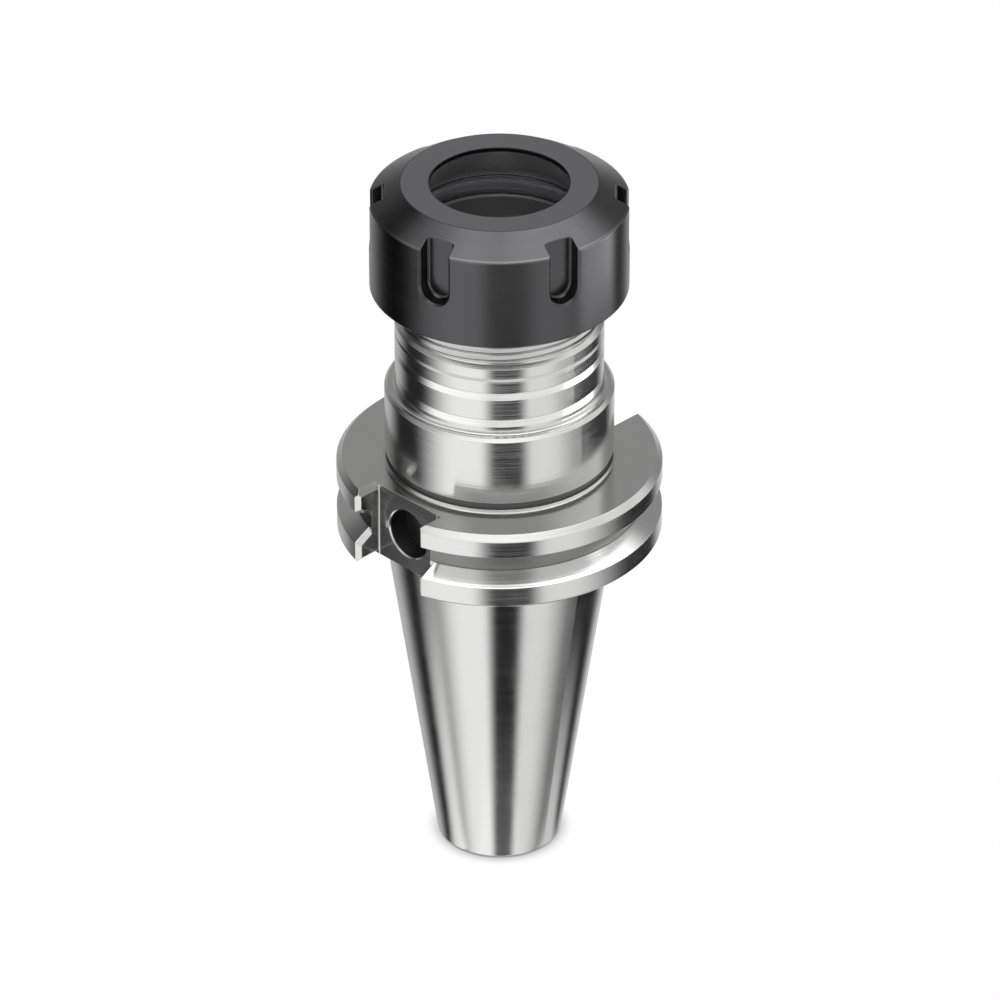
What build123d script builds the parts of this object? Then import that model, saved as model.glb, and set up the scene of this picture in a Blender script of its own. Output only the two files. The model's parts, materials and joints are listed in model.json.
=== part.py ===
from build123d import *
import math
import os

# A steep-taper collet chuck: a turned holder with a drive flange, and a slotted clamping nut.
# Millimetres. The origin is the centre of the taper's gauge plane, and +Z points to the collet's mouth.
# Each size that can be chosen by itself is named once here, and everything else is worked out from it.

# Spindle taper, 7 in 24
gauge_diameter = 44.45
taper_ratio = 7 / 24
taper_length = 68.4
taper_end_chamfer = 0.6
taper_relief_start = 0.6
taper_relief_depth = 0.5

# Flange, with its gripper groove
flange_diameter = 63.55
flange_rear_height = 3.2
flange_thickness = 15.9
flange_front_chamfer = 1.15
flange_rear_chamfer = 0.5
groove_height = 11.1
groove_depth = 3.65
groove_bottom_width = 2.82
groove_flank_angle = 30.0

# Drive slots: the marked one holds the data chip's bore
slot_width = 16.1
slot_edge_chamfer = 1.05
slot_corner_radius = 0.3
bevel_overrun = 1.05
bevel_end_gap = 0.03
marked_slot_depth_radius = 25.0
plain_slot_depth_radius = 22.8
chip_bore_diameter = 10.0
chip_bore_depth = 4.6
chip_bore_chamfer = 0.3

# Body, between the flange and the neck
body_diameter = 44.6
body_height = 16.05
body_top_chamfer = 0.62
foot_rim_width = 0.35
foot_rim_height = 0.45
foot_groove_height = 1.45
foot_groove_depth = 0.4

# Neck, with its shallow turned rings
shoulder_width = 2.05
neck_foot_radius = 0.95
neck_height = 15.15
ring_depth = 0.2
ring_lip_height = 0.2
ring_tops = (12.43, 9.25, 3.35)
ring_lengths = (0.7, 1.65, 1.65)

# Nose, with the thread at its pitch cylinder
thread_nominal = 40.0
thread_pitch = 1.5
nose_length = 16.9
nose_edge_chamfer = 0.2
thread_clearance = 0.05

# Collet seat and the bores behind it
seat_mouth_diameter = 33.0
seat_half_angle = 8.0
seat_depth = 36.0
seat_mouth_chamfer = 0.35
stop_bore_diameter = 21.5
stop_bore_depth = 19.0
coolant_bore_diameter = 10.0
drawbar_pilot_diameter = 17.0
drawbar_pilot_depth = 8.2
drawbar_core_diameter = 14.0
drawbar_bore_depth = 42.5
drawbar_mouth_chamfer = 0.5
drill_point_angle = 118.0

# Coolant entries in the flange's rear face, each closed by a plug screw
entry_inset = 4.775
plug_diameter = 4.94
plug_length = 4.0
plug_clearance = 0.03
plug_recess = 0.4
plug_end_chamfer = 0.4
plug_socket_width = 2.5
plug_socket_depth = 2.0
channel_diameter = 3.0
channel_slope = 31.0

# Clamping nut
nut_diameter = 50.0
nut_length = 22.3
nut_front_above_nose = 12.1
nut_bevel_width = 6.0
nut_front_slope = 31.0
nut_rear_chamfer = 0.4
nut_mouth_inset = 3.0
nut_mouth_land = 0.9
clamp_cone_length = 5.6
clamp_cone_angle = 30.0
rim_groove_depth = 0.4
rim_groove_height = 1.4
bead_inset = 0.65
bead_edge_height = 0.2
bead_offset = 0.75
bead_direction = 135.0
bead_height = 2.8
undercut_depth = 0.75
undercut_length = 2.7
thread_mouth_chamfer = 1.0

# Spanner slots of the nut
spanner_slots = 6
spanner_slot_width = 6.0
spanner_slot_length = 14.4
spanner_slot_depth = 3.0
spanner_slot_floor_radius = 0.6
spanner_slot_chamfer = 0.45
first_spanner_slot = -15.0

# Heights and radii that follow
gauge_radius = gauge_diameter / 2
flange_radius = flange_diameter / 2
flange_front = flange_rear_height + flange_thickness
groove_bottom_radius = flange_radius - groove_depth
entry_radius = flange_radius - entry_inset
body_radius = body_diameter / 2
neck_radius = body_radius - shoulder_width
shoulder_height = flange_front + body_height
neck_top = shoulder_height + neck_height
nose_face = neck_top + nose_length
pitch_radius = (thread_nominal - 0.6495 * thread_pitch) / 2
nut_front = nose_face + nut_front_above_nose
nut_rear = nut_front - nut_length
nut_radius = nut_diameter / 2
nut_shoulder = nut_front - nut_bevel_width * math.tan(math.radians(nut_front_slope))
bead_edge_radius = seat_mouth_diameter / 2 - bead_inset


def taper_radius(height):
    """Radius of the spindle taper at a height over the gauge plane."""
    return gauge_radius + height * taper_ratio / 2


def turned(points):
    """Solid turned about Z from a closed outline of (radius, height) points."""
    outline = Polyline(*[(radius, 0, height) for radius, height in points], close=True)
    return revolve(make_face(outline), Axis.Z)


def taper_points():
    """Outline of the spindle taper, from its small end to the flange."""
    end = -taper_length
    relief_radius = taper_radius(taper_relief_start) - taper_relief_depth
    return [
        (taper_radius(end) - taper_end_chamfer, end),
        (taper_radius(end + taper_end_chamfer), end + taper_end_chamfer),
        (taper_radius(taper_relief_start), taper_relief_start),
        (relief_radius, taper_relief_start + taper_relief_depth),
        (relief_radius, flange_rear_height),
    ]


def flange_points():
    """Outline of the flange with its V-shaped gripper groove."""
    half_bottom = groove_bottom_width / 2
    half_mouth = half_bottom + groove_depth * math.tan(math.radians(groove_flank_angle))
    return [
        (flange_radius - flange_rear_chamfer, flange_rear_height),
        (flange_radius, flange_rear_height + flange_rear_chamfer),
        (flange_radius, groove_height - half_mouth),
        (groove_bottom_radius, groove_height - half_bottom),
        (groove_bottom_radius, groove_height + half_bottom),
        (flange_radius, groove_height + half_mouth),
        (flange_radius, flange_front - flange_front_chamfer),
        (flange_radius - flange_front_chamfer, flange_front),
    ]


def body_points():
    """Outline of the body: rim and groove at its foot, cylinder, and chamfered shoulder."""
    rim_radius = body_radius + foot_rim_width
    groove_radius = body_radius - foot_groove_depth
    rim_top = flange_front + foot_rim_height
    groove_top = rim_top + foot_groove_height
    return [
        (rim_radius, flange_front),
        (rim_radius - foot_rim_height / 2, rim_top),
        (groove_radius, rim_top),
        (groove_radius, groove_top - foot_groove_depth),
        (body_radius, groove_top),
        (body_radius, shoulder_height - body_top_chamfer),
        (body_radius - body_top_chamfer, shoulder_height),
    ]


def neck_points():
    """Outline of the neck from its foot upwards, with a saw-tooth for each ring."""
    points = [(neck_radius, shoulder_height)]
    for top, length in sorted(zip(ring_tops, ring_lengths)):
        ring_top = shoulder_height + top
        points.append((neck_radius, ring_top - length))
        points.append((neck_radius - ring_depth, ring_top - ring_lip_height))
        points.append((neck_radius, ring_top))
    points.append((neck_radius, neck_top - abs(neck_radius - pitch_radius)))
    return points


def nose_points():
    """Outline of the threaded nose, at the thread's pitch cylinder."""
    return [
        (pitch_radius, neck_top),
        (pitch_radius, nose_face - nose_edge_chamfer),
        (pitch_radius - nose_edge_chamfer, nose_face),
    ]


def round_neck_foot(solid):
    """Rounds the inside corner between the neck and the shoulder."""
    corner = [
        edge for edge in solid.edges().filter_by(GeomType.CIRCLE)
        if math.isclose(edge.radius, neck_radius, abs_tol=1e-4)
        and math.isclose(edge.center().Z, shoulder_height, abs_tol=1e-4)
    ]
    return fillet(corner, neck_foot_radius)


def holder_bores():
    """Everything that is bored along the axis: collet seat, stop bore, coolant bore and drawbar bore."""
    seat_mouth = seat_mouth_diameter / 2
    seat_floor = nose_face - seat_depth
    stop_radius = stop_bore_diameter / 2
    stop_floor = seat_floor - stop_bore_depth
    coolant_radius = coolant_bore_diameter / 2
    pilot_radius = drawbar_pilot_diameter / 2
    core_radius = drawbar_core_diameter / 2
    end = -taper_length
    drill_slope = math.tan(math.radians(drill_point_angle / 2))
    core_top = end + drawbar_bore_depth
    seat_slope = math.tan(math.radians(seat_half_angle))
    return turned([
        (0, end),
        (pilot_radius + drawbar_mouth_chamfer, end),
        (pilot_radius, end + drawbar_mouth_chamfer),
        (pilot_radius, end + drawbar_pilot_depth),
        (core_radius, end + drawbar_pilot_depth + (pilot_radius - core_radius)),
        (core_radius, core_top),
        (coolant_radius, core_top + (core_radius - coolant_radius) / drill_slope),
        (coolant_radius, stop_floor - (stop_radius - coolant_radius) / drill_slope),
        (stop_radius, stop_floor),
        (stop_radius, seat_floor),
        (seat_mouth - seat_depth * seat_slope, seat_floor),
        (seat_mouth - seat_mouth_chamfer * seat_slope, nose_face - seat_mouth_chamfer),
        (seat_mouth + seat_mouth_chamfer, nose_face),
        (0, nose_face),
    ])


def drive_slot(floor_radius, side):
    """Cutter for one drive slot; side is -1 for the slot that faces -Y and 1 for the other."""
    reach = flange_radius + slot_width - floor_radius
    cutter = Box(slot_width, reach, flange_thickness * 2)
    floor_edges = cutter.edges().filter_by(Axis.Z).group_by(Axis.Y)[0]
    cutter = fillet(floor_edges, slot_corner_radius)
    cutter = Pos(0, floor_radius + reach / 2, groove_height) * cutter
    return cutter if side > 0 else Rot(0, 0, 180) * cutter


def chip_bore():
    """Cutter for the data chip's blind bore in the floor of the marked slot."""
    radius = chip_bore_diameter / 2
    bore = Cylinder(radius, chip_bore_depth * 2)
    countersink = Cone(radius, radius + chip_bore_chamfer * 2, chip_bore_chamfer * 2)
    cutter = bore + countersink
    return Pos(0, -marked_slot_depth_radius, groove_height) * Rot(90, 0, 0) * cutter


def coolant_entry():
    """Cutter for one coolant entry: the plug's pocket and the channel to the stop bore."""
    pocket_depth = plug_recess + plug_length
    pocket = Cylinder(
        plug_diameter / 2 + plug_clearance,
        pocket_depth,
        align=(Align.CENTER, Align.CENTER, Align.MIN),
    )
    pocket = Pos(entry_radius, 0, flange_rear_height) * pocket
    start = flange_rear_height + pocket_depth - channel_diameter / 2
    length = (entry_radius - stop_bore_diameter / 4) / math.cos(math.radians(channel_slope))
    channel = Cylinder(channel_diameter / 2, length, align=(Align.CENTER, Align.CENTER, Align.MIN))
    channel = Pos(entry_radius, 0, start) * Rot(0, channel_slope - 90, 0) * channel
    return pocket + channel


def flange_section(offset):
    """The flange's outline as (y, height) points this far beside the axis, with sharp outer corners."""
    outline = [(flange_radius, flange_rear_height)] + flange_points()[2:6] + [(flange_radius, flange_front)]
    return [(math.sqrt(radius ** 2 - offset ** 2), height) for radius, height in outline]


def inset(points, amount):
    """Moves the inner points of a (y, height) line into the metal on its left, as far from every face."""
    moved = []
    for before, point, after in zip(points, points[1:], points[2:]):
        normals = []
        for start, end in ((before, point), (point, after)):
            length = math.dist(start, end)
            normals.append(((start[1] - end[1]) / length, (end[0] - start[0]) / length))
        first, second = normals
        share = amount / (1 + first[0] * second[0] + first[1] * second[1])
        moved.append((point[0] + share * (first[0] + second[0]), point[1] + share * (first[1] + second[1])))
    return moved


def above_groove_bottom(rim, offset):
    """Ends a rim line's two flanks just above the groove's bottom, which keeps its sharp edge."""
    end = math.sqrt(groove_bottom_radius ** 2 - offset ** 2) + bevel_end_gap
    rear, rear_mouth, rear_foot, front_foot, front_mouth, front = rim
    ends = []
    for mouth, foot in ((rear_mouth, rear_foot), (front_mouth, front_foot)):
        share = (mouth[0] - end) / (mouth[0] - foot[0])
        ends.append((end, mouth[1] + share * (foot[1] - mouth[1])))
    return [rear, rear_mouth] + ends + [front_mouth, front]


def slot_edge_cutter(floor_radius, side):
    """Cutter that bevels both rims of a drive slot, over the flange's faces, lands and groove flanks."""
    deepest_cut = slot_edge_chamfer * bevel_overrun
    groove_bottom = math.sqrt(groove_bottom_radius ** 2 - (slot_width / 2) ** 2)
    inner = min(floor_radius, groove_bottom - deepest_cut)
    reach = flange_radius + slot_width
    low = flange_rear_height - slot_width
    high = flange_front + slot_width
    sections = []
    for depth in (deepest_cut, 0):
        offset = slot_width / 2 + slot_edge_chamfer - depth
        outline = [(-reach, flange_rear_height)] + flange_section(offset) + [(-reach, flange_front)]
        rim = above_groove_bottom(inset(outline, depth), offset)
        points = [(inner, rim[0][1])] + rim + [(inner, rim[-1][1])]
        points += [(inner, high), (reach, high), (reach, low), (inner, low)]
        sections.append(make_face(Polyline(*[(offset, y, height) for y, height in points], close=True)))
    bevel = loft(sections, ruled=True)
    cutter = bevel + mirror(bevel, Plane.YZ)
    return cutter if side > 0 else Rot(0, 0, 180) * cutter


def holder_body():
    """The one-piece holder: taper, flange, body, neck and nose, bored through."""
    outline = taper_points() + flange_points() + body_points() + neck_points() + nose_points()
    blank = turned([(0, -taper_length)] + outline + [(0, nose_face)])
    solid = round_neck_foot(blank)
    for floor_radius, side in ((marked_slot_depth_radius, -1), (plain_slot_depth_radius, 1)):
        solid = solid - drive_slot(floor_radius, side) - slot_edge_cutter(floor_radius, side)
    solid = solid - holder_bores() - chip_bore()
    for turn in (0, 180):
        solid = solid - Rot(0, 0, turn) * coolant_entry()
    return solid


def nut_blank():
    """The nut turned concentric: outside, mouth, clamping cone, rim groove, undercut and thread."""
    flat = nut_radius - nut_bevel_width
    mouth = seat_mouth_diameter / 2 - nut_mouth_inset
    cone_top = nut_front - nut_mouth_land
    cone_foot = cone_top - clamp_cone_length
    cone_foot_radius = mouth + clamp_cone_length * math.tan(math.radians(clamp_cone_angle))
    rim_radius = cone_foot_radius + rim_groove_depth
    bead_top = cone_foot - rim_groove_height
    bead_rear = bead_top - bead_height
    thread_radius = pitch_radius + thread_clearance
    undercut_radius = thread_radius + undercut_depth
    thread_top = bead_rear - undercut_length
    inner_edge = bead_edge_radius - 2 * bead_offset
    return turned([
        (nut_radius - nut_rear_chamfer, nut_rear),
        (nut_radius, nut_rear + nut_rear_chamfer),
        (nut_radius, nut_shoulder),
        (flat, nut_front),
        (mouth, nut_front),
        (mouth, cone_top),
        (cone_foot_radius, cone_foot),
        (rim_radius, cone_foot),
        (rim_radius, bead_top),
        (inner_edge, bead_top),
        (inner_edge, bead_rear),
        (undercut_radius, bead_rear),
        (undercut_radius, thread_top),
        (thread_radius, thread_top),
        (thread_radius, nut_rear + thread_mouth_chamfer),
        (thread_radius + thread_mouth_chamfer, nut_rear),
    ])


def bead_cutter():
    """Off-centre cutter that leaves the bead which pulls the collet out by its groove."""
    bead_top = nut_front - nut_mouth_land - clamp_cone_length - rim_groove_height
    edge_foot = bead_top - bead_edge_height
    bead_rear = bead_top - bead_height
    spread = edge_foot - bead_rear
    cutter = turned([
        (0, bead_rear),
        (bead_edge_radius + spread, bead_rear),
        (bead_edge_radius, edge_foot),
        (bead_edge_radius, bead_top),
        (0, bead_top),
    ])
    turn = math.radians(bead_direction)
    return Pos(bead_offset * math.cos(turn), bead_offset * math.sin(turn), 0) * cutter


def spanner_slot():
    """Cutter for one spanner slot on +X: round at its lower end, open at the front, with a rounded floor."""
    half = spanner_slot_width / 2
    floor = nut_radius - spanner_slot_depth
    reach = spanner_slot_depth + half
    tip = nut_front - spanner_slot_length
    top = nut_front + half
    straight = Pos(floor, 0, tip + half) * Box(
        reach, spanner_slot_width, top - tip - half,
        align=(Align.MIN, Align.CENTER, Align.MIN),
    )
    end = Pos(floor, 0, tip + half) * Rot(0, 90, 0) * Cylinder(
        half, reach, align=(Align.CENTER, Align.CENTER, Align.MIN)
    )
    cutter = straight + end
    floor_edges = cutter.faces().sort_by(Axis.X)[0].edges()
    return fillet(floor_edges, spanner_slot_floor_radius)


def break_slot_rims(solid):
    """Chamfers the spanner slots' edges on the nut's outside."""
    rims = []
    for edge in solid.edges():
        on_outside = all(
            math.isclose(math.hypot(point.X, point.Y), nut_radius, abs_tol=1e-3)
            for point in (edge @ 0, edge @ 0.5, edge @ 1)
        )
        lowest = min((edge @ 0).Z, (edge @ 0.5).Z)
        highest = max((edge @ 0).Z, (edge @ 0.5).Z, (edge @ 1).Z)
        if on_outside and lowest > nut_rear + nut_rear_chamfer + 1e-3 and highest - lowest > 1e-3:
            if highest < nut_shoulder + 1e-3:
                rims.append(edge)
    return chamfer(rims, spanner_slot_chamfer)


def clamping_nut():
    """The one-piece clamping nut with its bead and its six spanner slots."""
    solid = nut_blank() - bead_cutter()
    for index in range(spanner_slots):
        turn = first_spanner_slot + index * 360 / spanner_slots
        solid = solid - Rot(0, 0, turn) * spanner_slot()
    return break_slot_rims(solid)


def coolant_plug():
    """One plug screw, seated on the floor of its pocket with the hexagon socket to the rear."""
    radius = plug_diameter / 2
    plug = Cylinder(radius, plug_length, align=(Align.CENTER, Align.CENTER, Align.MIN))
    plug = chamfer(plug.edges().filter_by(GeomType.CIRCLE), plug_end_chamfer)
    hexagon = RegularPolygon(plug_socket_width / 2, 6, major_radius=False)
    plug = plug - extrude(hexagon, plug_socket_depth)
    return Pos(entry_radius, 0, flange_rear_height + plug_recess) * plug


def main():
    os.makedirs("parts", exist_ok=True)
    nodes = {
        "holder_body": holder_body(),
        "clamping_nut": clamping_nut(),
        "coolant_plug_right": coolant_plug(),
        "coolant_plug_left": Rot(0, 0, 180) * coolant_plug(),
    }
    for name, solid in nodes.items():
        export_step(solid, "parts/" + name + ".step")


main()
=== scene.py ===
import json
import logging
import math
from dataclasses import dataclass, field
from enum import Enum
from typing import Optional, Sequence, Union

import bpy
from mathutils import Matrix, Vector


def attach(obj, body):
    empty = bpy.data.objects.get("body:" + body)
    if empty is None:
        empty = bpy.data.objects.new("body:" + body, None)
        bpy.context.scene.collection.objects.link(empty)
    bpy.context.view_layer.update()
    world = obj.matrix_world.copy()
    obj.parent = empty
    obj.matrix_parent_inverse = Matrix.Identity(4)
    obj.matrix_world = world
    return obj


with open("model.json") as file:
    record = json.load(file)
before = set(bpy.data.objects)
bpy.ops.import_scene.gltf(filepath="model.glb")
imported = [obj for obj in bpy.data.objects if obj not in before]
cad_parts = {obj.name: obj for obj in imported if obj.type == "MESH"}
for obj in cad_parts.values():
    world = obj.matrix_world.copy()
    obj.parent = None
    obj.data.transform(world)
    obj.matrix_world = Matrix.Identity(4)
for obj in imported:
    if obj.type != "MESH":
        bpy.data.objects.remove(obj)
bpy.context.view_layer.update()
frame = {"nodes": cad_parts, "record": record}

LOG = logging.getLogger("collet_chuck")

MM = 0.001
STRAIGHT_UP = 90.0
QUARTER_TURN = 90.0
HALF_TURN = 180.0
FULL_TURN = 360.0

Socket = bpy.types.NodeSocket
Number = Union[float, Socket]


class Calc(Enum):
    """The sums that a recipe uses."""

    ADD = "ADD"
    SUBTRACT = "SUBTRACT"
    MULTIPLY = "MULTIPLY"
    DIVIDE = "DIVIDE"
    ROOT = "SQRT"
    ABSOLUTE = "ABSOLUTE"
    ANGLE = "ARCTAN2"
    ARCSINE = "ARCSINE"
    SINE = "SINE"
    COSINE = "COSINE"
    MAXIMUM = "MAXIMUM"
    LESS = "LESS_THAN"
    WRAP = "WRAP"


class Body(Enum):
    """The two bodies that pieces ride on."""

    HOLDER = "holder"
    NUT = "nut"


class Slot(Enum):
    """The material slots of the part's record."""

    HOLDER = "holder_steel"
    NUT = "nut_black_steel"
    PLUG = "plug_steel"


class Recipe:
    """Adds nodes to one tree and links them, so that it reads from its inputs to its result."""

    def __init__(self, tree: bpy.types.NodeTree) -> None:
        """Keeps the tree to build in.

        Args:
            tree: the node tree of a material, group, world or modifier.
        """
        self.tree = tree

    def add(self, kind: str, **settings: object) -> bpy.types.Node:
        """Adds a node and sets its properties.

        Args:
            kind: Blender's name for the node's type.
            **settings: properties of the node by name.

        Returns:
            The new node.
        """
        node = self.tree.nodes.new(kind)
        for name, value in settings.items():
            setattr(node, name, value)
        return node

    def feed(self, socket: Socket, value: object) -> None:
        """Links a socket into another, or sets a plain value there.

        Args:
            socket: the input to fill.
            value: an output socket, or a value for the input.
        """
        if isinstance(value, Socket):
            self.tree.links.new(value, socket)
        else:
            socket.default_value = value

    def calc(self, how: Calc, *values: Number) -> Socket:
        """Adds one sum.

        Args:
            how: the sum.
            *values: its numbers or sockets, in order.

        Returns:
            The socket with the result.
        """
        node = self.add("ShaderNodeMath", operation=how.value)
        for socket, value in zip(node.inputs, values):
            self.feed(socket, value)
        return node.outputs[0]

    def ramp(
        self, value: Number, low: Number, high: Number, start: Number = 0.0, end: Number = 1.0
    ) -> Socket:
        """Maps a value smoothly from one span to another, held at both ends.

        Args:
            value: what is mapped.
            low: the value that gives start.
            high: the value that gives end.
            start: result at low.
            end: result at high.

        Returns:
            The socket with the mapped value.
        """
        node = self.add("ShaderNodeMapRange", interpolation_type="SMOOTHSTEP")
        given = {"Value": value, "From Min": low, "From Max": high, "To Min": start, "To Max": end}
        for name, number in given.items():
            self.feed(node.inputs[name], number)
        return node.outputs[0]

    def noise(self, place: Socket, scale: Number, detail: float) -> Socket:
        """Adds a cloudy noise.

        Args:
            place: socket with the place where the noise is read.
            scale: its patches per unit.
            detail: how far it breaks up into finer patches.

        Returns:
            The socket with the noise, from 0 to 1.
        """
        node = self.add("ShaderNodeTexNoise", noise_dimensions="3D")
        for name, value in {"Vector": place, "Scale": scale, "Detail": detail}.items():
            self.feed(node.inputs[name], value)
        return node.outputs[0]

    def split(self, place: Socket) -> Sequence[Socket]:
        """Takes a place apart.

        Args:
            place: socket with the place.

        Returns:
            Sockets with its X, Y and Z.
        """
        node = self.add("ShaderNodeSeparateXYZ")
        self.feed(node.inputs[0], place)
        return node.outputs

    def join(self, *parts: Number) -> Socket:
        """Puts a place together.

        Args:
            *parts: its X, Y and Z.

        Returns:
            The socket with the place.
        """
        node = self.add("ShaderNodeCombineXYZ")
        for socket, part in zip(node.inputs, parts):
            self.feed(socket, part)
        return node.outputs[0]

    def round_place(self, place: Socket) -> tuple[Socket, Socket, Socket]:
        """Splits a place into its radius, its angle and its height round the part's axis.

        Args:
            place: socket with the place.

        Returns:
            Sockets with the radius, the angle in radians, and the height.
        """
        across, along, height = self.split(place)
        squares = [self.calc(Calc.MULTIPLY, side, side) for side in (across, along)]
        radius = self.calc(Calc.ROOT, self.calc(Calc.ADD, *squares))
        return radius, self.calc(Calc.ANGLE, along, across), height

    def band(self, value: Number, low: Number, high: Number, soft: Number) -> Socket:
        """Is 1 where a value lies between two limits and 0 outside them.

        Args:
            value: what is tested.
            low: lower limit.
            high: upper limit.
            soft: how far the change spreads past each limit.

        Returns:
            The socket with the mask.
        """
        above = self.ramp(value, self.calc(Calc.SUBTRACT, low, soft), low)
        below = self.ramp(value, high, self.calc(Calc.ADD, high, soft), 1.0, 0.0)
        return self.calc(Calc.MULTIPLY, above, below)


@dataclass(frozen=True)
class Grain:
    """How a noise is read: its patches per unit, and how far it breaks up into finer ones."""

    scale: float
    detail: float


@dataclass
class Effects:
    """The surface effects that the finishes share, each a node group that is built once."""

    line_relief: Grain = Grain(1.0, 1.5)
    line_shine: Grain = Grain(0.3, 2.0)
    smears: Grain = Grain(90.0, 4.0)
    smear_clean: float = 0.38
    smear_full: float = 0.66
    lathe_lines: bpy.types.NodeTree = field(init=False)
    handling_marks: bpy.types.NodeTree = field(init=False)
    turned_zone: bpy.types.NodeTree = field(init=False)
    screw_thread: bpy.types.NodeTree = field(init=False)

    def __post_init__(self) -> None:
        """Builds the groups."""
        self.lathe_lines = self.build_lathe_lines()
        self.handling_marks = self.build_handling_marks()
        self.turned_zone = self.build_turned_zone()
        self.screw_thread = self.build_screw_thread()

    def start(
        self, name: str, inputs: dict[str, Optional[float]], outputs: Sequence[str]
    ) -> tuple[bpy.types.NodeTree, Recipe, bpy.types.Node, bpy.types.Node]:
        """Starts an empty shader node group with named sockets.

        Args:
            name: the group's name.
            inputs: value of each input by its name, or None for a place.
            outputs: names of its value outputs.

        Returns:
            The group, its recipe, and its input and output nodes.
        """
        group = bpy.data.node_groups.new(name, "ShaderNodeTree")
        for label, value in inputs.items():
            kind = "NodeSocketVector" if value is None else "NodeSocketFloat"
            socket = group.interface.new_socket(label, in_out="INPUT", socket_type=kind)
            if value is not None:
                socket.default_value = value
        for label in outputs:
            group.interface.new_socket(label, in_out="OUTPUT", socket_type="NodeSocketFloat")
        recipe = Recipe(group)
        return group, recipe, recipe.add("NodeGroupInput"), recipe.add("NodeGroupOutput")

    def build_lathe_lines(self) -> bpy.types.NodeTree:
        """Builds the group that draws the fine rings left by turning and grinding.

        Returns:
            The group, with Height for a bump and Tone for the roughness.
        """
        inputs = {"Position": None, "Lines Per Metre": 2000.0, "Breaks": 1.0}
        group, recipe, entry, result = self.start("lathe_lines", inputs, ("Height", "Tone"))
        radius, turn, height = recipe.round_place(entry.outputs["Position"])
        density = entry.outputs["Lines Per Metre"]
        fold = recipe.calc(Calc.ABSOLUTE, turn)
        place = recipe.join(
            recipe.calc(Calc.MULTIPLY, radius, density),
            recipe.calc(Calc.MULTIPLY, height, density),
            recipe.calc(Calc.MULTIPLY, fold, entry.outputs["Breaks"]),
        )
        for label, grain in (("Height", self.line_relief), ("Tone", self.line_shine)):
            recipe.feed(result.inputs[label], recipe.noise(place, grain.scale, grain.detail))
        return group

    def build_handling_marks(self) -> bpy.types.NodeTree:
        """Builds the group that spreads faint smears over a handled surface.

        Returns:
            The group, with Smear from 0 to 1.
        """
        inputs = {"Position": None, "Patches Per Metre": self.smears.scale}
        group, recipe, entry, result = self.start("handling_marks", inputs, ("Smear",))
        patches = recipe.noise(
            entry.outputs["Position"], entry.outputs["Patches Per Metre"], self.smears.detail
        )
        smear = recipe.ramp(patches, self.smear_clean, self.smear_full)
        recipe.feed(result.inputs["Smear"], smear)
        return group

    def build_turned_zone(self) -> bpy.types.NodeTree:
        """Builds the group that marks one ring-shaped zone of a turned piece.

        Returns:
            The group, with Mask 1 inside the zone's radii and heights.
        """
        inputs = {
            "Position": None, "Inner": 0.0, "Outer": 0.1, "Low": -0.1, "High": 0.1, "Soft": 0.0001
        }
        group, recipe, entry, result = self.start("turned_zone", inputs, ("Mask",))
        given = entry.outputs
        radius, _, height = recipe.round_place(given["Position"])
        round_mask = recipe.band(radius, given["Inner"], given["Outer"], given["Soft"])
        high_mask = recipe.band(height, given["Low"], given["High"], given["Soft"])
        recipe.feed(result.inputs["Mask"], recipe.calc(Calc.MULTIPLY, round_mask, high_mask))
        return group

    def build_screw_thread(self) -> bpy.types.NodeTree:
        """Builds the group that cuts a screw thread's look into a round surface.

        Returns:
            The group, with Height for a bump that leans every turn the same way.
        """
        inputs = {"Position": None, "Pitch": 0.002, "Start": 0.0, "Slope": 1.0}
        group, recipe, entry, result = self.start("screw_thread", inputs, ("Height",))
        given = entry.outputs
        _, turn, height = recipe.round_place(given["Position"])
        turns = recipe.calc(Calc.DIVIDE, turn, 2 * math.pi)
        lead = recipe.calc(Calc.MULTIPLY, turns, given["Pitch"])
        level = recipe.calc(Calc.SUBTRACT, height, lead)
        climb = recipe.calc(Calc.SUBTRACT, level, given["Start"])
        place = recipe.calc(Calc.WRAP, climb, given["Pitch"], 0.0)
        recipe.feed(result.inputs["Height"], recipe.calc(Calc.MULTIPLY, place, given["Slope"]))
        return group


@dataclass(frozen=True)
class Zone:
    """A ring-shaped zone of a turned piece with its own shine, and a tone that scales its colour
    as painted light above 1 and painted shade below 1, in millimetres.

    A zone with a cross_height lies round a bore that looks along -Y at that height, and its low
    and high are then distances from the part's axis.
    """

    name: str
    inner: float
    outer: float
    low: float
    high: float
    # Scales the colour: painted light above 1, painted shade below 1.
    tone: float = 1.0
    dull: float = 0.0
    soft: float = 0.06
    cross_height: Optional[float] = None


@dataclass(frozen=True)
class ScrewThread:
    """A screw thread that is drawn into a round surface, in millimetres."""

    zone: Zone
    pitch: float
    start: float
    slope: float


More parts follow.
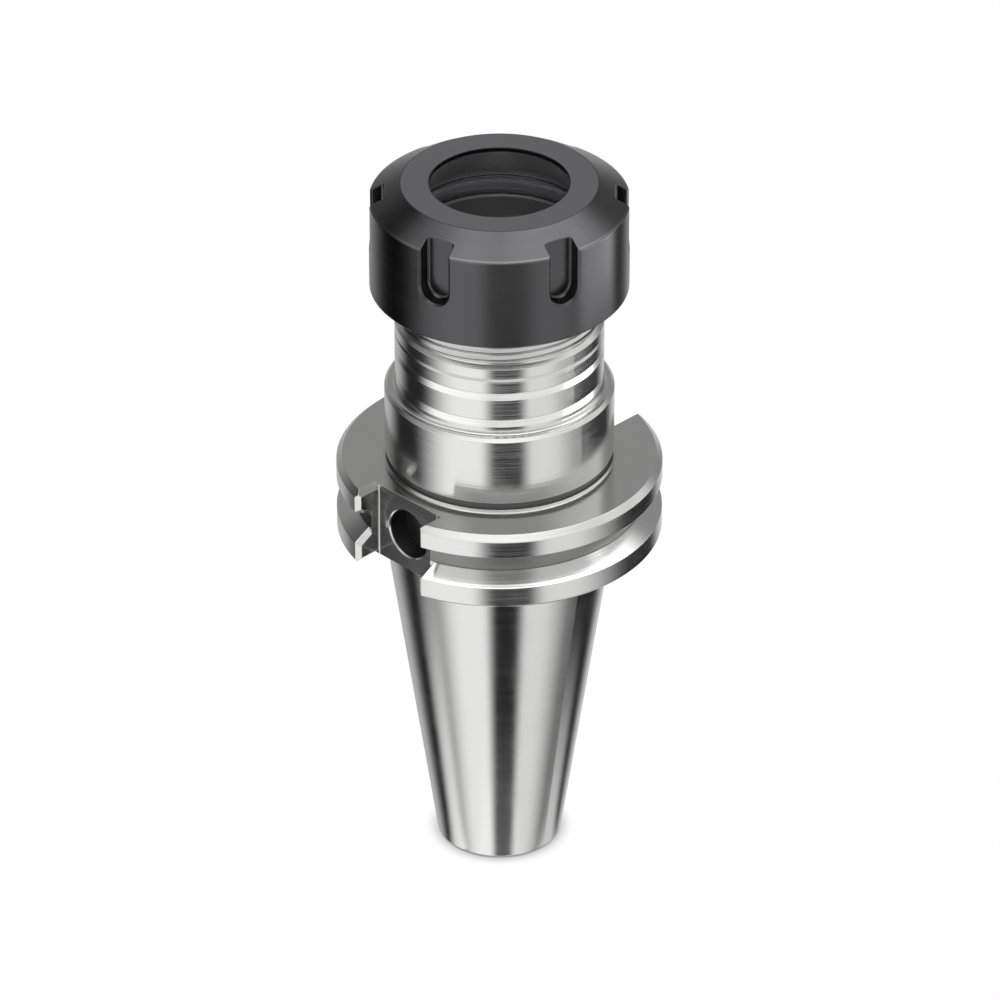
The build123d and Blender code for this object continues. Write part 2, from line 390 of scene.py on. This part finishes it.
@dataclass(frozen=True)
class MetalFinish:
    """A turned, ground or blackened metal surface with zones of another shine and of painted light
    and shade, in millimetres.
    """

    name: str
    colour: tuple[float, float, float]
    rough_low: float
    rough_high: float
    line_spacing: float
    line_depth: float
    line_breaks: float
    stretch: float
    edge_round: float
    zones: tuple[Zone, ...] = ()
    threads: tuple[ScrewThread, ...] = ()
    line_share: float = 0.7
    smear_share: float = 0.3
    stretch_turn: float = 0.25
    edge_samples: int = 6

    def zone_mask(self, recipe: Recipe, effects: Effects, where: Socket, zone: Zone) -> Socket:
        """Adds the mask of one zone.

        Args:
            recipe: the material's recipe.
            effects: the shared effects.
            where: socket with the place on the piece.
            zone: the zone.

        Returns:
            The socket with the mask.
        """
        ring = recipe.add("ShaderNodeGroup", node_tree=effects.turned_zone, label=zone.name)
        if zone.cross_height is not None:
            across, along, height = recipe.split(where)
            level = recipe.calc(Calc.SUBTRACT, height, zone.cross_height * MM)
            where = recipe.join(across, level, recipe.calc(Calc.MULTIPLY, along, -1.0))
        recipe.feed(ring.inputs["Position"], where)
        for label in ("Inner", "Outer", "Low", "High", "Soft"):
            ring.inputs[label].default_value = getattr(zone, label.lower()) * MM
        return ring.outputs["Mask"]

    def relief(self, recipe: Recipe, effects: Effects, where: Socket, rings: Socket) -> Socket:
        """Adds the relief of the lathe lines and of the threads.

        Args:
            recipe: the material's recipe.
            effects: the shared effects.
            where: socket with the place on the piece.
            rings: socket with the lines' height from 0 to 1.

        Returns:
            The socket with the relief in metres.
        """
        height = recipe.calc(Calc.MULTIPLY, rings, self.line_depth * MM)
        for thread in self.threads:
            mask = self.zone_mask(recipe, effects, where, thread.zone)
            screw = recipe.add("ShaderNodeGroup", node_tree=effects.screw_thread)
            recipe.feed(screw.inputs["Position"], where)
            screw.inputs["Pitch"].default_value = thread.pitch * MM
            screw.inputs["Start"].default_value = thread.start * MM
            screw.inputs["Slope"].default_value = thread.slope
            cut = recipe.calc(Calc.MULTIPLY, screw.outputs["Height"], mask)
            height = recipe.calc(Calc.ADD, height, cut)
        return height

    def dullness(self, recipe: Recipe, effects: Effects, where: Socket, tone: Socket) -> Socket:
        """Adds the roughness that the lathe lines and the smears give.

        Args:
            recipe: the material's recipe.
            effects: the shared effects.
            where: socket with the place on the piece.
            tone: socket with the lines' tone from 0 to 1.

        Returns:
            The socket with the roughness.
        """
        smears = recipe.add("ShaderNodeGroup", node_tree=effects.handling_marks)
        recipe.feed(smears.inputs["Position"], where)
        span = self.rough_high - self.rough_low
        lines = recipe.calc(Calc.MULTIPLY, tone, span * self.line_share)
        smear = recipe.calc(Calc.MULTIPLY, smears.outputs["Smear"], span * self.smear_share)
        return recipe.calc(Calc.ADD, recipe.calc(Calc.ADD, lines, smear), self.rough_low)

    def material(self, effects: Effects) -> bpy.types.Material:
        """Builds the material.

        Args:
            effects: the shared effects.

        Returns:
            The material, with rings in its bump and roughness, and its zones' painted light and
            shade in colour and their shine in roughness.
        """
        made = bpy.data.materials.new(self.name)
        made.use_nodes = True
        made.node_tree.nodes.clear()
        recipe = Recipe(made.node_tree)
        where = recipe.add("ShaderNodeTexCoord").outputs["Object"]
        rings = recipe.add("ShaderNodeGroup", node_tree=effects.lathe_lines)
        recipe.feed(rings.inputs["Position"], where)
        rings.inputs["Lines Per Metre"].default_value = 1.0 / (self.line_spacing * MM)
        rings.inputs["Breaks"].default_value = self.line_breaks
        metal = recipe.add("ShaderNodeBsdfPrincipled")
        metal.inputs["Base Color"].default_value = (*self.colour, 1.0)
        metal.inputs["Metallic"].default_value = 1.0
        metal.inputs["Anisotropic"].default_value = self.stretch
        metal.inputs["Anisotropic Rotation"].default_value = self.stretch_turn
        dull = self.dullness(recipe, effects, where, rings.outputs["Tone"])
        # Each zone's tone scales the colour: painted light where it is above 1, painted shade
        # where it is below 1.
        shade: Number = 1.0
        for zone in self.zones:
            mask = self.zone_mask(recipe, effects, where, zone)
            tone = recipe.ramp(mask, 0.0, 1.0, 1.0, zone.tone)
            shade = recipe.calc(Calc.MULTIPLY, shade, tone)
            dull = recipe.calc(Calc.ADD, dull, recipe.calc(Calc.MULTIPLY, mask, zone.dull))
        if self.zones:
            painted_light_and_shade = recipe.add("ShaderNodeVectorMath", operation="SCALE")
            painted_light_and_shade.inputs[0].default_value = self.colour
            recipe.feed(painted_light_and_shade.inputs["Scale"], shade)
            recipe.feed(metal.inputs["Base Color"], painted_light_and_shade.outputs[0])
        edges = recipe.add("ShaderNodeBevel", samples=self.edge_samples)
        edges.inputs["Radius"].default_value = self.edge_round * MM
        bump = recipe.add("ShaderNodeBump")
        bump.inputs["Distance"].default_value = 1.0
        height = self.relief(recipe, effects, where, rings.outputs["Height"])
        recipe.feed(bump.inputs["Height"], height)
        recipe.feed(bump.inputs["Normal"], edges.outputs[0])
        around = recipe.add("ShaderNodeTangent", direction_type="RADIAL", axis="Z")
        recipe.feed(metal.inputs["Tangent"], around.outputs[0])
        recipe.feed(metal.inputs["Roughness"], dull)
        recipe.feed(metal.inputs["Normal"], bump.outputs[0])
        recipe.feed(recipe.add("ShaderNodeOutputMaterial").inputs["Surface"], metal.outputs[0])
        return made


@dataclass
class Workshop:
    """Keeps one material for each slot of the record and dresses the pieces with them."""

    effects: Effects
    finishes: dict[Slot, MetalFinish]
    made: dict[Slot, bpy.types.Material] = field(default_factory=dict)

    def material(self, slot: Slot) -> bpy.types.Material:
        """Gives a slot's material, which is built when it is first asked for.

        Args:
            slot: the slot.

        Returns:
            The material.
        """
        if slot not in self.made:
            self.made[slot] = self.finishes[slot].material(self.effects)
        return self.made[slot]

    def dress(self, node: str, body: Body) -> None:
        """Puts its slot's finish on a CAD piece whose shape is right.

        Args:
            node: the piece's name.
            body: the body that it rides on.
        """
        slots = {row["node"]: row["material_slot"] for row in frame["record"]["subparts"]}
        piece, material = frame["nodes"][node], self.material(Slot(slots[node]))
        piece.material_slots[0].link = "OBJECT"
        piece.material_slots[0].material = material
        faces = len(piece.data.polygons)
        LOG.info("%s on %s: %s, %d faces", node, body.value, material.name, faces)


@dataclass
class ThreadRidges:
    """The ridge that winds round a threaded cylinder, in millimetres and degrees."""

    name: str
    root_radius: float = 19.47
    crest_radius: float = 19.95
    pitch: float = 1.5
    flank_half_angle: float = 30.0
    crest_flat: float = 0.16
    start_height: float = 50.7
    turns: float = 4.6
    start_angle: float = -150.0
    run_out: float = 0.08
    steps_per_turn: int = 120
    weld: float = 0.0005
    sharp_angle: float = 25.0

    def section(self) -> list[tuple[float, float]]:
        """Works out the ridge's section.

        Returns:
            (radius, height) of its corners, from the lower foot round the crest to the upper foot
            and back to the lower one.
        """
        rise = self.crest_radius - self.root_radius
        crest = self.crest_flat / 2
        foot = crest + rise * math.tan(math.radians(self.flank_half_angle))
        return [(0.0, -foot), (rise, -crest), (rise, crest), (0.0, foot), (0.0, -foot)]

    def strip(self, recipe: Recipe, corners: int) -> tuple[Socket, Socket, Socket]:
        """Adds the flat strip that is wound, with a row of points for each corner of the section.

        Args:
            recipe: the tree's recipe.
            corners: how many corners the section has.

        Returns:
            Sockets with the strip, how far along it a point lies from 0 to 1, and its corner.
        """
        length, width = 1.0, float(corners - 1)
        grid = recipe.add("GeometryNodeMeshGrid")
        grid.inputs["Size X"].default_value = length
        grid.inputs["Size Y"].default_value = width
        grid.inputs["Vertices X"].default_value = int(self.turns * self.steps_per_turn)
        grid.inputs["Vertices Y"].default_value = corners
        along, across, _ = recipe.split(recipe.add("GeometryNodeInputPosition").outputs[0])
        along = recipe.calc(Calc.ADD, along, length / 2)
        corner = recipe.calc(Calc.ADD, across, width / 2)
        return grid.outputs["Mesh"], along, corner

    def tree(self, material: bpy.types.Material) -> bpy.types.NodeTree:
        """Builds the node tree that winds a flat strip into the ridge.

        Args:
            material: the ridge's finish.

        Returns:
            The tree, with the inputs that the sizes method lists.
        """
        tree = bpy.data.node_groups.new(self.name + "_winding", "GeometryNodeTree")
        for way in ("OUTPUT", "INPUT"):
            tree.interface.new_socket("Geometry", in_out=way, socket_type="NodeSocketGeometry")
        for label in self.sizes():
            tree.interface.new_socket(label, in_out="INPUT", socket_type="NodeSocketFloat")
        recipe = Recipe(tree)
        entry, result = recipe.add("NodeGroupInput"), recipe.add("NodeGroupOutput")
        given = entry.outputs
        corners = self.section()
        strip, along, corner = self.strip(recipe, len(corners))
        out: Number = 0.0
        lift: Number = 0.0
        half_step = 0.5
        for index, (radius, height) in enumerate(corners):
            here = recipe.calc(Calc.ABSOLUTE, recipe.calc(Calc.SUBTRACT, corner, float(index)))
            here = recipe.calc(Calc.LESS, here, half_step)
            out = recipe.calc(Calc.ADD, out, recipe.calc(Calc.MULTIPLY, here, radius * MM))
            lift = recipe.calc(Calc.ADD, lift, recipe.calc(Calc.MULTIPLY, here, height * MM))
        leave = recipe.calc(Calc.SUBTRACT, 1.0, given["Run Out"])
        fade = recipe.calc(
            Calc.MULTIPLY,
            recipe.ramp(along, 0.0, given["Run Out"]),
            recipe.ramp(along, leave, 1.0, 1.0, 0.0),
        )
        out = recipe.calc(Calc.MULTIPLY, out, fade)
        lift = recipe.calc(Calc.MULTIPLY, lift, fade)
        wound = recipe.calc(Calc.MULTIPLY, along, given["Turns"])
        turned = recipe.calc(Calc.MULTIPLY, wound, 2 * math.pi)
        angle = recipe.calc(Calc.ADD, turned, given["Start Angle"])
        radius = recipe.calc(Calc.ADD, given["Root Radius"], out)
        climb = recipe.calc(Calc.MULTIPLY, wound, given["Pitch"])
        height = recipe.calc(Calc.ADD, given["Start Height"], climb)
        place = recipe.join(
            recipe.calc(Calc.MULTIPLY, radius, recipe.calc(Calc.COSINE, angle)),
            recipe.calc(Calc.MULTIPLY, radius, recipe.calc(Calc.SINE, angle)),
            recipe.calc(Calc.ADD, height, lift),
        )
        wind = recipe.add("GeometryNodeSetPosition")
        recipe.feed(wind.inputs["Geometry"], strip)
        recipe.feed(wind.inputs["Position"], place)
        close = recipe.add("GeometryNodeMergeByDistance")
        recipe.feed(close.inputs["Geometry"], wind.outputs[0])
        close.inputs["Distance"].default_value = self.weld * MM
        real = recipe.add("GeometryNodeRealizeInstances")
        recipe.feed(real.inputs[0], close.outputs[0])
        finish = recipe.add("GeometryNodeSetMaterial")
        recipe.feed(finish.inputs["Geometry"], real.outputs[0])
        finish.inputs["Material"].default_value = material
        recipe.feed(result.inputs[0], finish.outputs[0])
        return tree

    def sizes(self) -> dict[str, float]:
        """Works out the tree's inputs.

        Returns:
            The inputs by name, in metres, radians, turns and shares of the ridge's length.
        """
        return {
            "Root Radius": self.root_radius * MM,
            "Pitch": self.pitch * MM,
            "Turns": self.turns,
            "Start Height": self.start_height * MM,
            "Start Angle": math.radians(self.start_angle),
            "Run Out": self.run_out,
        }

    def build(self, material: bpy.types.Material) -> bpy.types.Object:
        """Winds the ridge and turns it into a plain mesh.

        Args:
            material: the ridge's finish.

        Returns:
            The ridge's object.
        """
        made = bpy.data.objects.new(self.name, bpy.data.meshes.new(self.name))
        bpy.context.scene.collection.objects.link(made)
        winding = made.modifiers.new("winding", "NODES")
        winding.node_group = self.tree(material)
        sizes = self.sizes()
        for socket in winding.node_group.interface.items_tree:
            if socket.item_type == "SOCKET" and socket.in_out == "INPUT" and socket.name in sizes:
                winding[socket.identifier] = sizes[socket.name]
        evaluated = made.evaluated_get(bpy.context.evaluated_depsgraph_get())
        plain = bpy.data.meshes.new_from_object(evaluated)
        made.modifiers.clear()
        made.data = plain
        plain.name = self.name
        made.data.shade_smooth()
        made.data.set_sharp_from_angle(angle=math.radians(self.sharp_angle))
        return made


@dataclass
class Holder:
    """The one-piece holder with its threaded nose, and the two plug screws in its flange."""

    workshop: Workshop
    thread: ThreadRidges
    nodes: tuple[str, ...] = ("holder_body", "coolant_plug_left", "coolant_plug_right")
    body: Body = Body.HOLDER

    def build(self) -> None:
        """Dresses the holder and its plugs, and winds the nose's thread."""
        for node in self.nodes:
            self.workshop.dress(node, self.body)
        steel = self.workshop.material(Slot.HOLDER)
        ridge = self.thread.build(steel)
        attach(ridge, self.body.value)
        faces = len(ridge.data.polygons)
        LOG.info("%s on %s: %s, %d faces", ridge.name, self.body.value, steel.name, faces)


@dataclass
class ClampingNut:
    """The one-piece clamping nut in blackened steel."""

    workshop: Workshop
    node: str = "clamping_nut"
    body: Body = Body.NUT

    def build(self) -> None:
        """Dresses the nut."""
        self.workshop.dress(self.node, self.body)


@dataclass(frozen=True)
class Window:
    """One bright field between dark flags, as the part sees it.

    Azimuths run to the right from the camera's side and elevations up from the level, both in
    degrees. Each edge fades over its softness to either side.
    """

    name: str
    start: float
    end: float
    soft_start: float
    soft_end: float
    strength: float
    low: float = -STRAIGHT_UP
    high: float = STRAIGHT_UP
    soft_low: float = 4.0
    soft_high: float = 4.0


@dataclass(frozen=True)
class Card:
    """One reflector at floor level: a ring sector, in millimetres and degrees.

    It adds its light to what lies behind it. Its centre may lie ahead of the part's axis, toward
    the camera.
    """

    name: str
    inner: float
    outer: float
    first: float
    last: float
    near_light: float
    far_light: float
    soft: float
    ahead: float = 0.0


@dataclass
class Studio:
    """Camera, floor and light, in millimetres and degrees."""

    windows: tuple[Window, ...]
    cards: tuple[Card, ...]
    azimuth: float = 45.0
    elevation: float = 31.795
    distance: float = 1504.45
    aim_height: float = 7.983
    aim_right: float = 0.116
    focal_pixels: float = 7697.3
    picture: float = 1000.0
    sensor: float = 36.0
    clip_near: float = 50.0
    clip_far: float = 60000.0
    floor_height: float = -68.4
    floor_half: float = 6000.0
    shadow_reach: float = 4.0
    shadow_tone: float = 0.2
    shadow_end: float = 0.9
    shadow_samples: int = 16
    card_drop: float = 0.5
    card_steps: int = 8
    flags: float = 0.03
    fill: float = 0.8

    def direction(self, azimuth: float) -> Vector:
        """Gives the level direction at an azimuth from the camera's side.

        Args:
            azimuth: degrees to the right of the camera, seen from the part.

        Returns:
            The direction.
        """
        turn = math.radians(self.azimuth + azimuth)
        return Vector((math.sin(turn), -math.cos(turn), 0.0))

    def camera(self) -> None:
        """Places the camera at the photograph's viewing angle."""
        lens = bpy.data.cameras.new("camera")
        lens.sensor_width = self.sensor
        lens.lens = self.focal_pixels / self.picture * self.sensor
        lens.clip_start = self.clip_near * MM
        lens.clip_end = self.clip_far * MM
        lift = math.radians(self.elevation)
        back = self.direction(0.0) * math.cos(lift) + Vector((0.0, 0.0, math.sin(lift)))
        aim = self.direction(QUARTER_TURN) * self.aim_right * MM
        aim += Vector((0.0, 0.0, self.aim_height * MM))
        eye = bpy.data.objects.new("camera", lens)
        eye.location = aim + back * self.distance * MM
        eye.rotation_mode = "QUATERNION"
        eye.rotation_quaternion = (-back).to_track_quat("-Z", "Y")
        bpy.context.scene.collection.objects.link(eye)
        bpy.context.scene.camera = eye

    def sheet(
        self, name: str, finish: str, corners: Sequence[Vector], clear: bool = False
    ) -> tuple[bpy.types.Object, Recipe, Socket]:
        """Lays a flat sheet that shines by itself, as part of the stage.

        Args:
            name: the sheet's name.
            finish: its material's name.
            corners: its corners in order.
            clear: whether what lies behind it shines through.

        Returns:
            The sheet's object, its material's recipe, and the socket that takes its brightness.
        """
        material = bpy.data.materials.new(finish)
        material.use_nodes = True
        material.node_tree.nodes.clear()
        recipe = Recipe(material.node_tree)
        glow = recipe.add("ShaderNodeEmission")
        shine = glow.outputs[0]
        if clear:
            both = recipe.add("ShaderNodeAddShader")
            recipe.feed(both.inputs[0], shine)
            recipe.feed(both.inputs[1], recipe.add("ShaderNodeBsdfTransparent").outputs[0])
            shine = both.outputs[0]
        recipe.feed(recipe.add("ShaderNodeOutputMaterial").inputs["Surface"], shine)
        mesh = bpy.data.meshes.new(name)
        mesh.from_pydata(corners, [], [tuple(range(len(corners)))])
        mesh.materials.append(material)
        made = bpy.data.objects.new(name, mesh)
        bpy.context.scene.collection.objects.link(made)
        return made, recipe, glow.inputs["Strength"]

    def floor(self) -> None:
        """Lays the white floor, with the part's shadow where it stands."""
        half, level = self.floor_half * MM, self.floor_height * MM
        sides = ((-1, -1), (1, -1), (1, 1), (-1, 1))
        corners = [Vector((x * half, y * half, level)) for x, y in sides]
        made, recipe, brightness = self.sheet("floor", "floor_white", corners)
        near = recipe.add("ShaderNodeAmbientOcclusion", samples=self.shadow_samples)
        near.inputs["Distance"].default_value = self.shadow_reach * MM
        shade = recipe.ramp(near.outputs["AO"], 0.0, self.shadow_end, self.shadow_tone, 1.0)
        recipe.feed(brightness, shade)
        made.visible_glossy = False

    def card(self, card: Card) -> None:
        """Lays one reflector just under the floor, which reflections don't show.

        Args:
            card: the reflector.
        """
        half = math.radians(card.last - card.first) / 2
        steps = self.card_steps
        turns = [half * step / steps for step in range(-steps, steps + 1)]
        rim = [Vector((math.cos(turn), math.sin(turn), 0.0)) for turn in turns]
        corners = [side * card.outer * MM for side in rim]
        corners += [side * card.inner * MM for side in reversed(rim)]
        made, recipe, brightness = self.sheet(card.name, card.name, corners, clear=True)
        place = recipe.add("ShaderNodeTexCoord").outputs["Object"]
        radius, turn, _ = recipe.round_place(place)
        inner, outer = card.inner * MM, card.outer * MM
        light = recipe.ramp(radius, inner, outer, card.near_light, card.far_light)
        fade = half - math.radians(card.soft)
        edge = recipe.ramp(recipe.calc(Calc.ABSOLUTE, turn), fade, half, 1.0, 0.0)
        recipe.feed(brightness, recipe.calc(Calc.MULTIPLY, light, edge))
        made.location = self.direction(0.0) * card.ahead * MM
        made.location.z = (self.floor_height - self.card_drop) * MM
        middle = (card.first + card.last) / 2
        made.rotation_euler.z = math.radians(self.azimuth + middle - QUARTER_TURN)
        made.visible_camera = False
        made.visible_diffuse = False

    def opening(self, recipe: Recipe, azimuth: Socket, lift: Socket, window: Window) -> Number:
        """Adds the light of one window.

        Args:
            recipe: the world's recipe.
            azimuth: socket with the azimuth from the camera's side.
            lift: socket with the elevation.
            window: the window.

        Returns:
            The socket with its light.
        """
        middle = (window.start + window.end) / 2
        half = (window.end - window.start) / 2
        off = recipe.calc(Calc.SUBTRACT, azimuth, middle)
        off = recipe.calc(Calc.WRAP, off, HALF_TURN, -HALF_TURN)
        off.node.label = window.name
        light: Number = window.strength
        if half < HALF_TURN:
            soft = window.soft_start
            into = recipe.ramp(off, -half - soft, -half + soft)
            soft = window.soft_end
            leave = recipe.ramp(off, half - soft, half + soft, 1.0, 0.0)
            light = recipe.calc(Calc.MULTIPLY, recipe.calc(Calc.MULTIPLY, into, leave), light)
        if window.low > -STRAIGHT_UP:
            soft = window.soft_low
            edge = recipe.ramp(lift, window.low - soft, window.low + soft)
            light = recipe.calc(Calc.MULTIPLY, edge, light)
        if window.high < STRAIGHT_UP:
            soft = window.soft_high
            edge = recipe.ramp(lift, window.high - soft, window.high + soft, 1.0, 0.0)
            light = recipe.calc(Calc.MULTIPLY, edge, light)
        return light

    def world(self) -> None:
        """Builds the soft light between dark flags, and the white that the camera sees."""
        world = bpy.data.worlds.new("studio")
        bpy.context.scene.world = world
        world.use_nodes = True
        world.node_tree.nodes.clear()
        recipe = Recipe(world.node_tree)
        turned = recipe.add("ShaderNodeVectorRotate", rotation_type="Z_AXIS")
        place = recipe.add("ShaderNodeTexCoord").outputs["Generated"]
        recipe.feed(turned.inputs["Vector"], place)
        turned.inputs["Angle"].default_value = math.radians(-self.azimuth)
        right, away, up = recipe.split(turned.outputs[0])
        toward = recipe.calc(Calc.MULTIPLY, away, -1.0)
        degrees = HALF_TURN / math.pi
        azimuth = recipe.calc(Calc.MULTIPLY, recipe.calc(Calc.ANGLE, right, toward), degrees)
        lift = recipe.calc(Calc.MULTIPLY, recipe.calc(Calc.ARCSINE, up), degrees)
        light: Number = self.flags
        for window in self.windows:
            opening = self.opening(recipe, azimuth, lift, window)
            light = recipe.calc(Calc.ADD, light, opening)
        rays = recipe.add("ShaderNodeLightPath").outputs
        seen, through = rays["Is Camera Ray"], rays["Is Transmission Ray"]
        backdrop = recipe.calc(Calc.MAXIMUM, seen, through)
        strength = recipe.ramp(rays["Is Glossy Ray"], 0.0, 1.0, self.fill, light)
        strength = recipe.ramp(backdrop, 0.0, 1.0, strength, 1.0)
        around = recipe.add("ShaderNodeBackground")
        recipe.feed(around.inputs["Strength"], strength)
        recipe.feed(recipe.add("ShaderNodeOutputWorld").inputs["Surface"], around.outputs[0])

    def build(self) -> None:
        """Builds the whole studio and keeps the plain colour transform."""
        self.camera()
        self.floor()
        for card in self.cards:
            self.card(card)
        self.world()
        bpy.context.scene.view_settings.view_transform = "Standard"
        LOG.info("studio: %d windows, %d cards", len(self.windows), len(self.cards))


# Below this elevation the steel mirrors the room low over the floor.
GROUND = -24.0

# name, start, end, soft_start, soft_end, strength
WINDOWS = (
    Window("left_low", -72.0, -12.0, 24.0, 9.0, 1.44, high=GROUND),
    Window("right_low", 27.0, 78.0, 8.0, 28.0, 1.2, high=GROUND),
    Window("back_low", 148.0, 226.0, 13.0, 16.0, 0.64, high=0.0, soft_high=14.0),
    Window("back_low_fill", 140.0, 182.0, 10.0, 10.0, 0.16, high=0.0, soft_high=14.0),
    Window(
        "horizon_lower", -84.0, 142.0, 14.0, 12.0, 1.52, low=GROUND, high=-14.0, soft_high=3.0
    ),
    Window(
        "horizon_upper", -84.0, 122.0, 14.0, 12.0, 1.1,
        low=-14.0, high=20.0, soft_low=3.0, soft_high=8.0,
    ),
    Window("horizon_left_fill", -78.0, -16.0, 12.0, 12.0, 0.4, low=GROUND, high=-10.0),
    Window("horizon_right_fill", 64.0, 130.0, 12.0, 10.0, 0.08, low=GROUND, high=-10.0),
    Window(
        "front_high", -104.0, 124.0, 22.0, 12.0, 0.55,
        low=20.0, high=48.0, soft_low=8.0, soft_high=9.0,
    ),
    Window(
        "left_high_fill", -66.0, -34.0, 16.0, 14.0, 0.3,
        low=20.0, high=48.0, soft_low=8.0, soft_high=9.0,
    ),
    Window(
        "right_high_fill", 56.0, 124.0, 26.0, 10.0, 0.5,
        low=20.0, high=48.0, soft_low=8.0, soft_high=9.0,
    ),
    Window(
        "right_top", 96.0, 150.0, 14.0, 10.0, 1.5,
        low=40.0, high=74.0, soft_low=8.0, soft_high=8.0,
    ),
    Window(
        "back_middle", 118.0, 234.0, 14.0, 14.0, 0.4,
        low=0.0, high=26.0, soft_low=12.0, soft_high=5.0,
    ),
    Window(
        "back_high", 118.0, 222.0, 14.0, 14.0, 0.4,
        low=26.0, high=60.0, soft_low=5.0, soft_high=10.0,
    ),
    Window("overhead", -HALF_TURN, HALF_TURN, 0.0, 0.0, 0.5, low=48.0, soft_low=9.0),
    Window("overhead_front", -130.0, 130.0, 16.0, 16.0, 1.2, low=48.0, soft_low=9.0),
    Window("overhead_front_top", -130.0, 130.0, 16.0, 16.0, 1.75, low=68.0, soft_low=8.0),
)

# name, inner, outer, first, last, near_light, far_light, soft
CARDS = (
    Card("nut_side_card", 248.0, 330.0, 66.0, 121.0, 4.1, 2.6, 14.0),
    Card("nut_front_card", 246.0, 330.0, -12.0, 30.0, 0.5, 0.4, 12.0),
    Card("foot_card_left", 8.0, 125.0, -105.0, -69.0, 1.0, 0.05, 16.0, ahead=9.0),
    Card("foot_card_right", 8.0, 86.0, 86.0, 122.0, 0.78, 0.0, 16.0, ahead=10.0),
    Card("foot_card_front", 12.0, 60.0, -30.0, 30.0, 0.12, 0.0, 12.0),
)

NOSE_THREAD = ThreadRidges("nose_thread")

# The zones' first four sizes are inner, outer, low and high.
STEEL = MetalFinish(
    name="turned_steel",
    colour=(0.66, 0.66, 0.655),
    rough_low=0.1,
    rough_high=0.24,
    line_spacing=0.32,
    line_depth=0.014,
    line_breaks=0.8,
    stretch=0.45,
    edge_round=0.12,
    zones=(
        # Painted shade: darkens the floor of the gripper groove, where shade falls between its
        # flanks.
        Zone("gripper_groove_painted_shade", 27.6, 28.3, 9.6, 12.6, tone=0.36, dull=0.2),
        # Painted shade: darkens the relief groove at the body's foot.
        Zone("foot_groove_painted_shade", 21.0, 22.15, 19.5, 20.9, tone=0.25, dull=0.2),
        # Painted shade: darkens the bore of the collet seat.
        Zone("collet_seat_painted_shade", 0.0, 17.4, 30.9, 66.8, tone=0.5, dull=0.3),
        # Painted shade: darkens the chamfer at the mouth of the collet seat.
        Zone("seat_mouth_painted_shade", 16.4, 17.4, 66.86, 67.3, tone=0.19, dull=0.3),
        # Painted shade: darkens the inside of the data chip bore.
        Zone("chip_bore_painted_shade", 0.0, 5.04, 19.0, 24.75, tone=0.15, dull=0.3, cross_height=11.1),
    ),
    threads=(
        ScrewThread(
            Zone("drawbar_thread", 0.0, 7.4, -58.0, -27.0), pitch=2.0, start=0.0, slope=1.0
        ),
        ScrewThread(
            Zone("nose_thread_root", 19.3, 19.6, NOSE_THREAD.start_height, 57.2),
            pitch=NOSE_THREAD.pitch,
            start=NOSE_THREAD.start_height
            - NOSE_THREAD.pitch * NOSE_THREAD.start_angle / FULL_TURN,
            slope=-0.45,
        ),
    ),
)
BLACK = MetalFinish(
    name="blackened_steel",
    colour=(0.085, 0.085, 0.088),
    rough_low=0.2,
    rough_high=0.3,
    line_spacing=0.5,
    line_depth=0.001,
    line_breaks=0.9,
    stretch=0.25,
    edge_round=0.3,
    zones=(
        # Painted light: lightens the nut's flat front face.
        Zone("front_face_painted_light", 13.7, 18.82, 79.22, 79.5, tone=3.3, dull=0.1, soft=0.12),
        # Painted light: lightens the inside of the nut's mouth.
        Zone("mouth_inside_painted_light", 0.0, 17.6, 70.2, 78.35, tone=7.0, dull=0.2),
        # Painted light: lightens the inside of the nut's thread.
        Zone("thread_inside_painted_light", 0.0, 20.6, 57.1, 70.1, tone=9.0, dull=0.35),
        # Painted light: lightens the clamping cone beyond the mouth's painted light.
        Zone("clamping_cone_painted_light", 13.4, 16.9, 72.9, 78.35, tone=1.4),
        # Painted shade: darkens the top of the bead inside the nut.
        Zone("bead_top_painted_shade", 15.0, 17.3, 71.36, 71.44, tone=0.08, soft=0.03),
        # Painted light: lightens the flank of the bead.
        Zone("bead_flank_painted_light", 15.0, 18.6, 68.65, 71.15, tone=1.6),
        # Painted highlight: lightens the ring at the lower edge of the nut's bevel.
        Zone("bevel_edge_painted_highlight", 24.6, 25.1, 75.45, 75.95, tone=1.5, soft=0.1),
    ),
)
SCREW = MetalFinish(
    name="screw_steel",
    colour=(0.12, 0.12, 0.125),
    rough_low=0.28,
    rough_high=0.4,
    line_spacing=0.3,
    line_depth=0.002,
    line_breaks=1.2,
    stretch=0.2,
    edge_round=0.08,
)
FINISHES = {Slot.HOLDER: STEEL, Slot.NUT: BLACK, Slot.PLUG: SCREW}


def main() -> None:
    """Builds every piece in order, then the studio."""
    logging.basicConfig(level=logging.INFO, format="%(message)s")
    workshop = Workshop(Effects(), FINISHES)
    Holder(workshop, NOSE_THREAD).build()
    ClampingNut(workshop).build()
    Studio(WINDOWS, CARDS).build()


if __name__ == "__main__":
    main()
